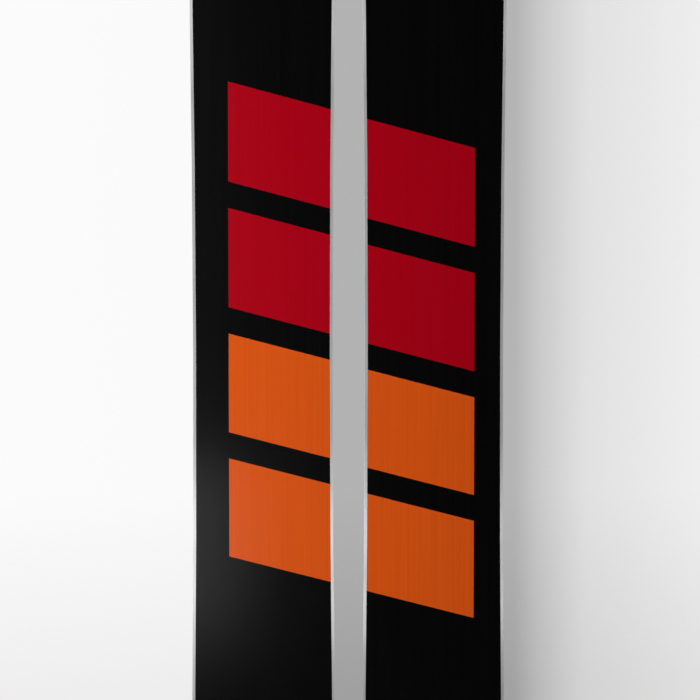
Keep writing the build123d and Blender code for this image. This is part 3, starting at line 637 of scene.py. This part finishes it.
def dress(node: str, material: bpy.types.Material, edge: float = 0.0) -> None:
    """Gives a node of the frame its finish, and a small rounding where its edges are sharp.

    Args:
        node: the node's name.
        material: its finish.
        edge: the rounding's width in metres, or 0 for none.
    """
    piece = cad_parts[node]
    piece.data.materials.clear()
    piece.data.materials.append(material)
    if edge:
        bevel = piece.modifiers.new("rounding", "BEVEL")
        bevel.width = edge
        bevel.segments = ROUNDING_SEGMENTS
        bevel.limit_method = "ANGLE"
        bevel.angle_limit = math.radians(ROUNDING_ANGLE)
        bevel.harden_normals = False
    LOG.info("dressed %s with %s", node, material.name)


def new_piece(name: str, mesh: bpy.types.Mesh, material: bpy.types.Material) -> bpy.types.Object:
    """Puts a new mesh into the scene with its finish.

    Args:
        name: the piece's name.
        mesh: its mesh.
        material: its finish.

    Returns:
        The new piece.
    """
    piece = bpy.data.objects.new(name, mesh)
    mesh.materials.append(material)
    bpy.context.scene.collection.objects.link(piece)
    return piece


def closed_mesh(name: str, shape: bmesh.types.BMesh) -> bpy.types.Mesh:
    """Turns a built shape into a mesh whose faces all look outward.

    Args:
        name: the mesh's name.
        shape: the built shape, which is freed.

    Returns:
        The new mesh.
    """
    bmesh.ops.recalc_face_normals(shape, faces=shape.faces)
    mesh = bpy.data.meshes.new(name)
    shape.to_mesh(mesh)
    shape.free()
    return mesh


@dataclass
class SkiBody:
    """One ski without its binding: base, edges, core and topsheet."""

    side: Side
    finishes: Finishes

    def dress(self) -> None:
        """Gives each layer its finish."""
        made = self.finishes
        layers = {
            "running_base": made.black_base, "red_inlays": made.red_base, "orange_inlays": made.orange_base,
            "edge_inner": made.edge_steel, "edge_outer": made.edge_steel, "damping_foil": made.foil,
            "lower_laminate": made.laminate, "upper_laminate": made.laminate, "wood_core": made.timber,
            "sidewalls": made.sidewall, "tip_spacer": made.sidewall, "tail_spacer": made.sidewall,
            "topsheet": made.topsheet,
        }
        for piece, material in layers.items():
            dress(self.side.node(piece), material)


@dataclass
class CoilSpring:
    """A release spring of round wire, wound within the box of the sleeve that it replaces."""

    side: Side
    unit: str
    body: str
    wire_radius: float = 1.25 * MM
    pitch: float = 3.1 * MM
    slack: float = 1.05               # how far the wire keeps inside the box, in wire radii
    steps: int = 28                   # rings in each turn
    ring: int = 10                    # corners of each ring

    def build(self, material: bpy.types.Material) -> None:
        """Winds the spring along Z.

        Args:
            material: its finish.
        """
        node = self.side.node(f"{self.unit}_spring")
        low, high = (Vector(corner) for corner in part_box(node))
        middle = (low + high) / 2
        radius = (high.x - low.x) / 2 - self.wire_radius * self.slack
        run = high.z - low.z - 2 * self.wire_radius * self.slack
        count = round(run / self.pitch * self.steps)
        shape = bmesh.new()
        rings = []
        for step in range(count + 1):
            turn = 2 * math.pi * step / self.steps
            outward = Vector((math.cos(turn), math.sin(turn), 0.0))
            centre = Vector((middle.x, middle.y, middle.z - run / 2 + run * step / count)) + outward * radius
            rings.append([shape.verts.new(centre + self.wire_radius * (
                outward * math.cos(angle) + Vector((0, 0, 1)) * math.sin(angle)))
                for angle in (2 * math.pi * k / self.ring for k in range(self.ring))])
        for one, two in zip(rings, rings[1:]):
            for k in range(self.ring):
                after = (k + 1) % self.ring
                shape.faces.new((one[k], one[after], two[after], two[k])).smooth = True
        shape.faces.new(list(reversed(rings[0])))
        shape.faces.new(rings[-1])
        name = f"{node}_coil"
        piece = new_piece(name, closed_mesh(name, shape), material)
        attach(piece, self.side.node(self.body))
        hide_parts(node)
        LOG.info("wound %s", piece.name)


@dataclass
class RibField:
    """A row of raised, rounded ribs moulded on a flat face that looks along +Y."""

    name: str
    body: str
    slot: str
    low: Vector
    high: Vector
    count: int
    height: float = 0.7 * MM
    sink: float = 0.1 * MM            # how far their foot lies inside the face
    fill: float = 0.5                 # a rib's share of the pitch
    steps: int = 6

    def build(self, material: bpy.types.Material) -> None:
        """Moulds the ribs across X, side by side along Z, on the face at the high corner's Y.

        Args:
            material: their finish.
        """
        shape = bmesh.new()
        pitch = (self.high.z - self.low.z) / self.count
        half = pitch * self.fill / 2
        foot = self.high.y - self.sink
        rise = self.height + self.sink
        angles = [math.pi * k / self.steps for k in range(self.steps + 1)]
        for number in range(self.count):
            centre = self.low.z + pitch * (number + 0.5)
            arc = [(foot + rise * math.sin(angle), centre - half * math.cos(angle)) for angle in angles]
            left, right = ([shape.verts.new((x, y, z)) for y, z in arc] for x in (self.low.x, self.high.x))
            for k in range(self.steps):
                shape.faces.new((left[k], left[k + 1], right[k + 1], right[k])).smooth = True
            shape.faces.new((left[0], right[0], right[-1], left[-1]))
            shape.faces.new(list(reversed(left)))
            shape.faces.new(right)
        piece = new_piece(self.name, closed_mesh(self.name, shape), material)
        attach(piece, self.body)
        LOG.info("moulded %s", piece.name)


@dataclass
class ToeUnit:
    """The toe of one binding."""

    side: Side
    finishes: Finishes
    rounding: float = 0.9 * MM
    small_rounding: float = 0.3 * MM
    rib_inset: float = 9.0 * MM       # from each side of the cap
    rib_low_inset: float = 14.0 * MM
    rib_high_inset: float = 24.0 * MM
    rib_count: int = 6

    def dress(self) -> None:
        """Gives each piece its finish, winds the spring and moulds the ribs."""
        made = self.finishes
        pieces = {
            "toe_base_plate": (made.nylon, self.rounding),
            "toe_housing": (made.alloy, self.rounding),
            "toe_wing_inner": (made.nylon, self.rounding),
            "toe_wing_outer": (made.nylon, self.rounding),
            "toe_wing_pins": (made.zinc, self.small_rounding),
            "toe_setting_screw": (made.zinc, self.small_rounding),
            "antifriction_plate": (made.glide, self.small_rounding),
            "toe_screws": (made.zinc, self.small_rounding),
        }
        for piece, (material, edge) in pieces.items():
            dress(self.side.node(piece), material, edge)
        CoilSpring(self.side, "toe", "ski").build(made.zinc)
        self.cap_ribs()

    def cap_ribs(self) -> None:
        """Moulds the ribs on the housing's cap."""
        low, high = (Vector(corner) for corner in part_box(self.side.node("toe_housing")))
        start = low + Vector((self.rib_inset, 0, self.rib_low_inset))
        end = high - Vector((self.rib_inset, 0, self.rib_high_inset))
        ribs = RibField(self.side.node("toe_cap_ribs"), self.side.node("ski"), "binding_accent", start, end,
                        self.rib_count)
        ribs.build(self.finishes.accent)


@dataclass
class HeelUnit:
    """The heel of one binding."""

    side: Side
    finishes: Finishes
    rounding: float = 0.9 * MM
    small_rounding: float = 0.3 * MM
    lug_height: float = 15.0 * MM
    rib_reach: float = 18.0 * MM      # to each side of the cup's middle
    rib_start: float = 26.0 * MM
    rib_run: float = 27.0 * MM
    rib_count: int = 7

    def dress(self) -> None:
        """Gives each piece its finish, winds the spring and moulds the ribs."""
        made = self.finishes
        pieces = {
            "heel_track": (made.alloy, self.small_rounding),
            "heel_carriage": (made.nylon, self.rounding),
            "heel_pivot_pin": (made.zinc, self.small_rounding),
            "heel_cup": (made.nylon, self.rounding),
            "heel_lever": (made.accent, self.rounding),
            "heel_setting_screw": (made.zinc, self.small_rounding),
            "heel_screws": (made.zinc, self.small_rounding),
        }
        for piece, (material, edge) in pieces.items():
            dress(self.side.node(piece), material, edge)
        CoilSpring(self.side, "heel", "heel_cup_body").build(made.zinc)
        self.cup_ribs()

    def cup_ribs(self) -> None:
        """Moulds the ribs on the cup's upper face, ahead of the lever's lugs."""
        low, high = (Vector(corner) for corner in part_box(self.side.node("heel_cup")))
        middle_x = (low.x + high.x) / 2
        face_y = high.y - self.lug_height
        start = Vector((middle_x - self.rib_reach, face_y, low.z + self.rib_start))
        end = Vector((middle_x + self.rib_reach, face_y, start.z + self.rib_run))
        ribs = RibField(self.side.node("heel_cup_ribs"), self.side.node("heel_cup_body"), "binding_plastic",
                        start, end, self.rib_count)
        ribs.build(self.finishes.nylon)


# ------------------------------------------------------------------------------------- the studio


@dataclass(frozen=True)
class Lamp:
    """One soft light; its place and what it faces are measured from the colour blocks' middle, in metres."""

    name: str
    place: tuple[float, float, float]
    size: tuple[float, float]         # width and height in metres
    power: float                      # in watts
    aim: tuple[float, float, float] = (0.0, 0.0, 0.0)
    spread: float = 180.0             # how wide it shines, in degrees

    def hang(self, middle: Vector) -> None:
        """Hangs the light.

        Args:
            middle: the colour blocks' middle.
        """
        data = bpy.data.lights.new(self.name, "AREA")
        data.shape = "RECTANGLE"
        data.size, data.size_y = self.size
        data.energy = self.power
        data.spread = math.radians(self.spread)
        lamp = bpy.data.objects.new(self.name, data)
        lamp.location = middle + Vector(self.place)
        facing = middle + Vector(self.aim) - lamp.location
        lamp.rotation_euler = facing.to_track_quat("-Z", "Y").to_euler()
        bpy.context.scene.collection.objects.link(lamp)


# A key from the left, two lights that gleam in the bases, one above, and two behind.
LAMPS = (
    Lamp("key", (-0.6, -0.4, 0.12), (0.5, 1.2), 3.9, spread=120.0),
    Lamp("sheen", (-0.32, -1.22, -0.34), (0.4, 0.24), 1.0, aim=(-0.32, 0.0, -0.34)),
    Lamp("veil", (-0.32, -1.22, 0.14), (0.4, 0.7), 0.22, aim=(-0.32, 0.0, 0.14)),
    Lamp("high", (-0.3, -1.0, 1.35), (1.4, 0.5), 4.0),
    Lamp("back_left", (-2.6, 2.6, 1.2), (1.6, 1.6), 60.0),
    Lamp("back_right", (2.6, 2.2, 0.4), (1.2, 2.0), 34.0),
)


@dataclass
class Studio:
    """Camera, lights, floor and backdrop.

    The backdrop's painted light and shade, with the pair's painted shadow behind and right of the skis, and
    its foot's painted shade are given where they are seen in the bases' plane: the distance to the right of
    the pair's middle, in metres, with the brightness as a screen shows it or the share that is left of it.
    The foot's reach is the two heights over the colour blocks' middle between which the painted shade darkens
    it.
    """

    lens: float = 85.0
    sensor: float = 36.0
    field_width: float = 0.4937
    yaw: float = 2.82
    pitch: float = 2.46
    aim_right: float = 0.85 * MM
    aim_up: float = 1.78 * MM
    farthest: float = 60.0
    backdrop_y: float = 6.0
    backdrop_width: float = 30.0
    backdrop_height: float = 16.0
    # painted light and shadow on the backdrop: bright to the left, the pair's painted shadow from just left
    # of the middle to the right ski's right
    backdrop_light_and_shadow: Stops = ((-0.25, 251), (-0.11, 250), (-0.06, 205), (-0.012, 178), (0.118, 180),
                              (0.134, 200), (0.169, 225), (0.25, 238))
    foot_reach: tuple[float, float] = (-0.24, -0.10)
    # painted shade at the backdrop's foot
    foot_painted_shade: Stops = ((-0.11, 0.89), (0.0, 0.79), (0.12, 0.79), (0.155, 0.86))
    floor_radius: float = 2.4
    floor_sides: int = 96
    floor_drop: float = 0.5 * MM
    surround_light: float = 0.02      # how bright the surround is as a light
    surround_shade: float = 0.8       # how bright it looks
    middle: Vector = field(init=False)
    eye: Vector = field(init=False)

    def __post_init__(self) -> None:
        """Finds the middle of the colour blocks, and where the camera stands before it."""
        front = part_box("right_orange_inlays")[0][1]
        self.middle = Vector((self.aim_right, front, blocks_height() + self.aim_up))
        distance = self.field_width * self.lens / self.sensor
        yaw, pitch = math.radians(self.yaw), math.radians(self.pitch)
        back = Vector((-math.sin(yaw) * math.cos(pitch), -math.cos(yaw) * math.cos(pitch), math.sin(pitch)))
        self.eye = self.middle + back * distance

    def camera(self) -> None:
        """Sets up the camera."""
        data = bpy.data.cameras.new("studio_camera")
        data.lens = self.lens
        data.sensor_width = self.sensor
        data.clip_end = self.farthest
        camera = bpy.data.objects.new("studio_camera", data)
        camera.location = self.eye
        camera.rotation_euler = (self.middle - self.eye).to_track_quat("-Z", "Y").to_euler()
        bpy.context.scene.collection.objects.link(camera)
        bpy.context.scene.camera = camera
        bpy.context.scene.view_settings.view_transform = "Standard"

    def lights(self) -> None:
        """Hangs the lights."""
        for lamp in LAMPS:
            lamp.hang(self.middle)

    def on_backdrop(self, x: float, z: float) -> Vector:
        """Where a sight line through a place in the bases' plane meets the backdrop.

        Args:
            x: the place's distance to the right of the pair's middle.
            z: its height over the colour blocks' middle.

        Returns:
            The place on the backdrop.
        """
        through = Vector((x, self.middle.y, self.middle.z + z))
        ray = through - self.eye
        return self.eye + ray * ((self.backdrop_y - self.eye.y) / ray.y)

    def backdrop(self) -> None:
        """Stands up the backdrop, far behind the skis, with the pair's shadow and a shade at its foot painted
        on it.
        """
        shades, foot_painted_shade = (tuple((self.on_backdrop(x, 0.0).x, shade) for x, shade in stops)
                               for stops in (self.backdrop_light_and_shadow, self.foot_painted_shade))
        foot = tuple(self.on_backdrop(0.0, z).z for z in self.foot_reach)
        right, top = self.backdrop_width / 2, self.backdrop_height / 2
        data = bpy.data.meshes.new("backdrop")
        outline = ((-right, -top), (right, -top), (right, top), (-right, top))
        data.from_pydata([(x, self.backdrop_y, z) for x, z in outline], [], [(0, 1, 2, 3)])
        new_piece("backdrop", data, BackdropPaint(shades, foot, foot_painted_shade).build())

    def floor(self) -> None:
        """Lays a round pale floor under the tails."""
        data = bpy.data.meshes.new("floor")
        angles = (2 * math.pi * k / self.floor_sides for k in range(self.floor_sides))
        rim = [(self.floor_radius * math.cos(angle), self.floor_radius * math.sin(angle), -self.floor_drop)
               for angle in angles]
        data.from_pydata(rim, [], [tuple(range(self.floor_sides))])
        new_piece("floor", data, FloorPaint().build())

    def world(self) -> None:
        """A pale surround to look at that adds little light of its own."""
        world = bpy.data.worlds.new("surround")
        bpy.context.scene.world = world
        world.use_nodes = True
        nodes = world.node_tree.nodes
        nodes.clear()
        output = nodes.new("ShaderNodeOutputWorld")
        mix = nodes.new("ShaderNodeMixShader")
        path = nodes.new("ShaderNodeLightPath")
        links = world.node_tree.links
        links.new(path.outputs["Is Camera Ray"], mix.inputs["Fac"])
        for socket, shade in zip(mix.inputs[1:], (self.surround_light, self.surround_shade)):
            background = nodes.new("ShaderNodeBackground")
            background.inputs["Color"].default_value = (shade, shade, shade, 1.0)
            links.new(background.outputs["Background"], socket)
        links.new(mix.outputs["Shader"], output.inputs["Surface"])

    def build(self) -> None:
        """Sets up the whole studio."""
        self.camera()
        self.lights()
        self.backdrop()
        self.floor()
        self.world()
        LOG.info("studio is set up")


def main() -> None:
    """Builds the studio and both skis."""
    logging.basicConfig(level=logging.INFO, format="%(name)s: %(message)s")
    Studio().build()
    finishes = Finishes()
    for side in Side:
        SkiBody(side, finishes).dress()
        ToeUnit(side, finishes).dress()
        HeelUnit(side, finishes).dress()


if __name__ == "__main__":
    main()
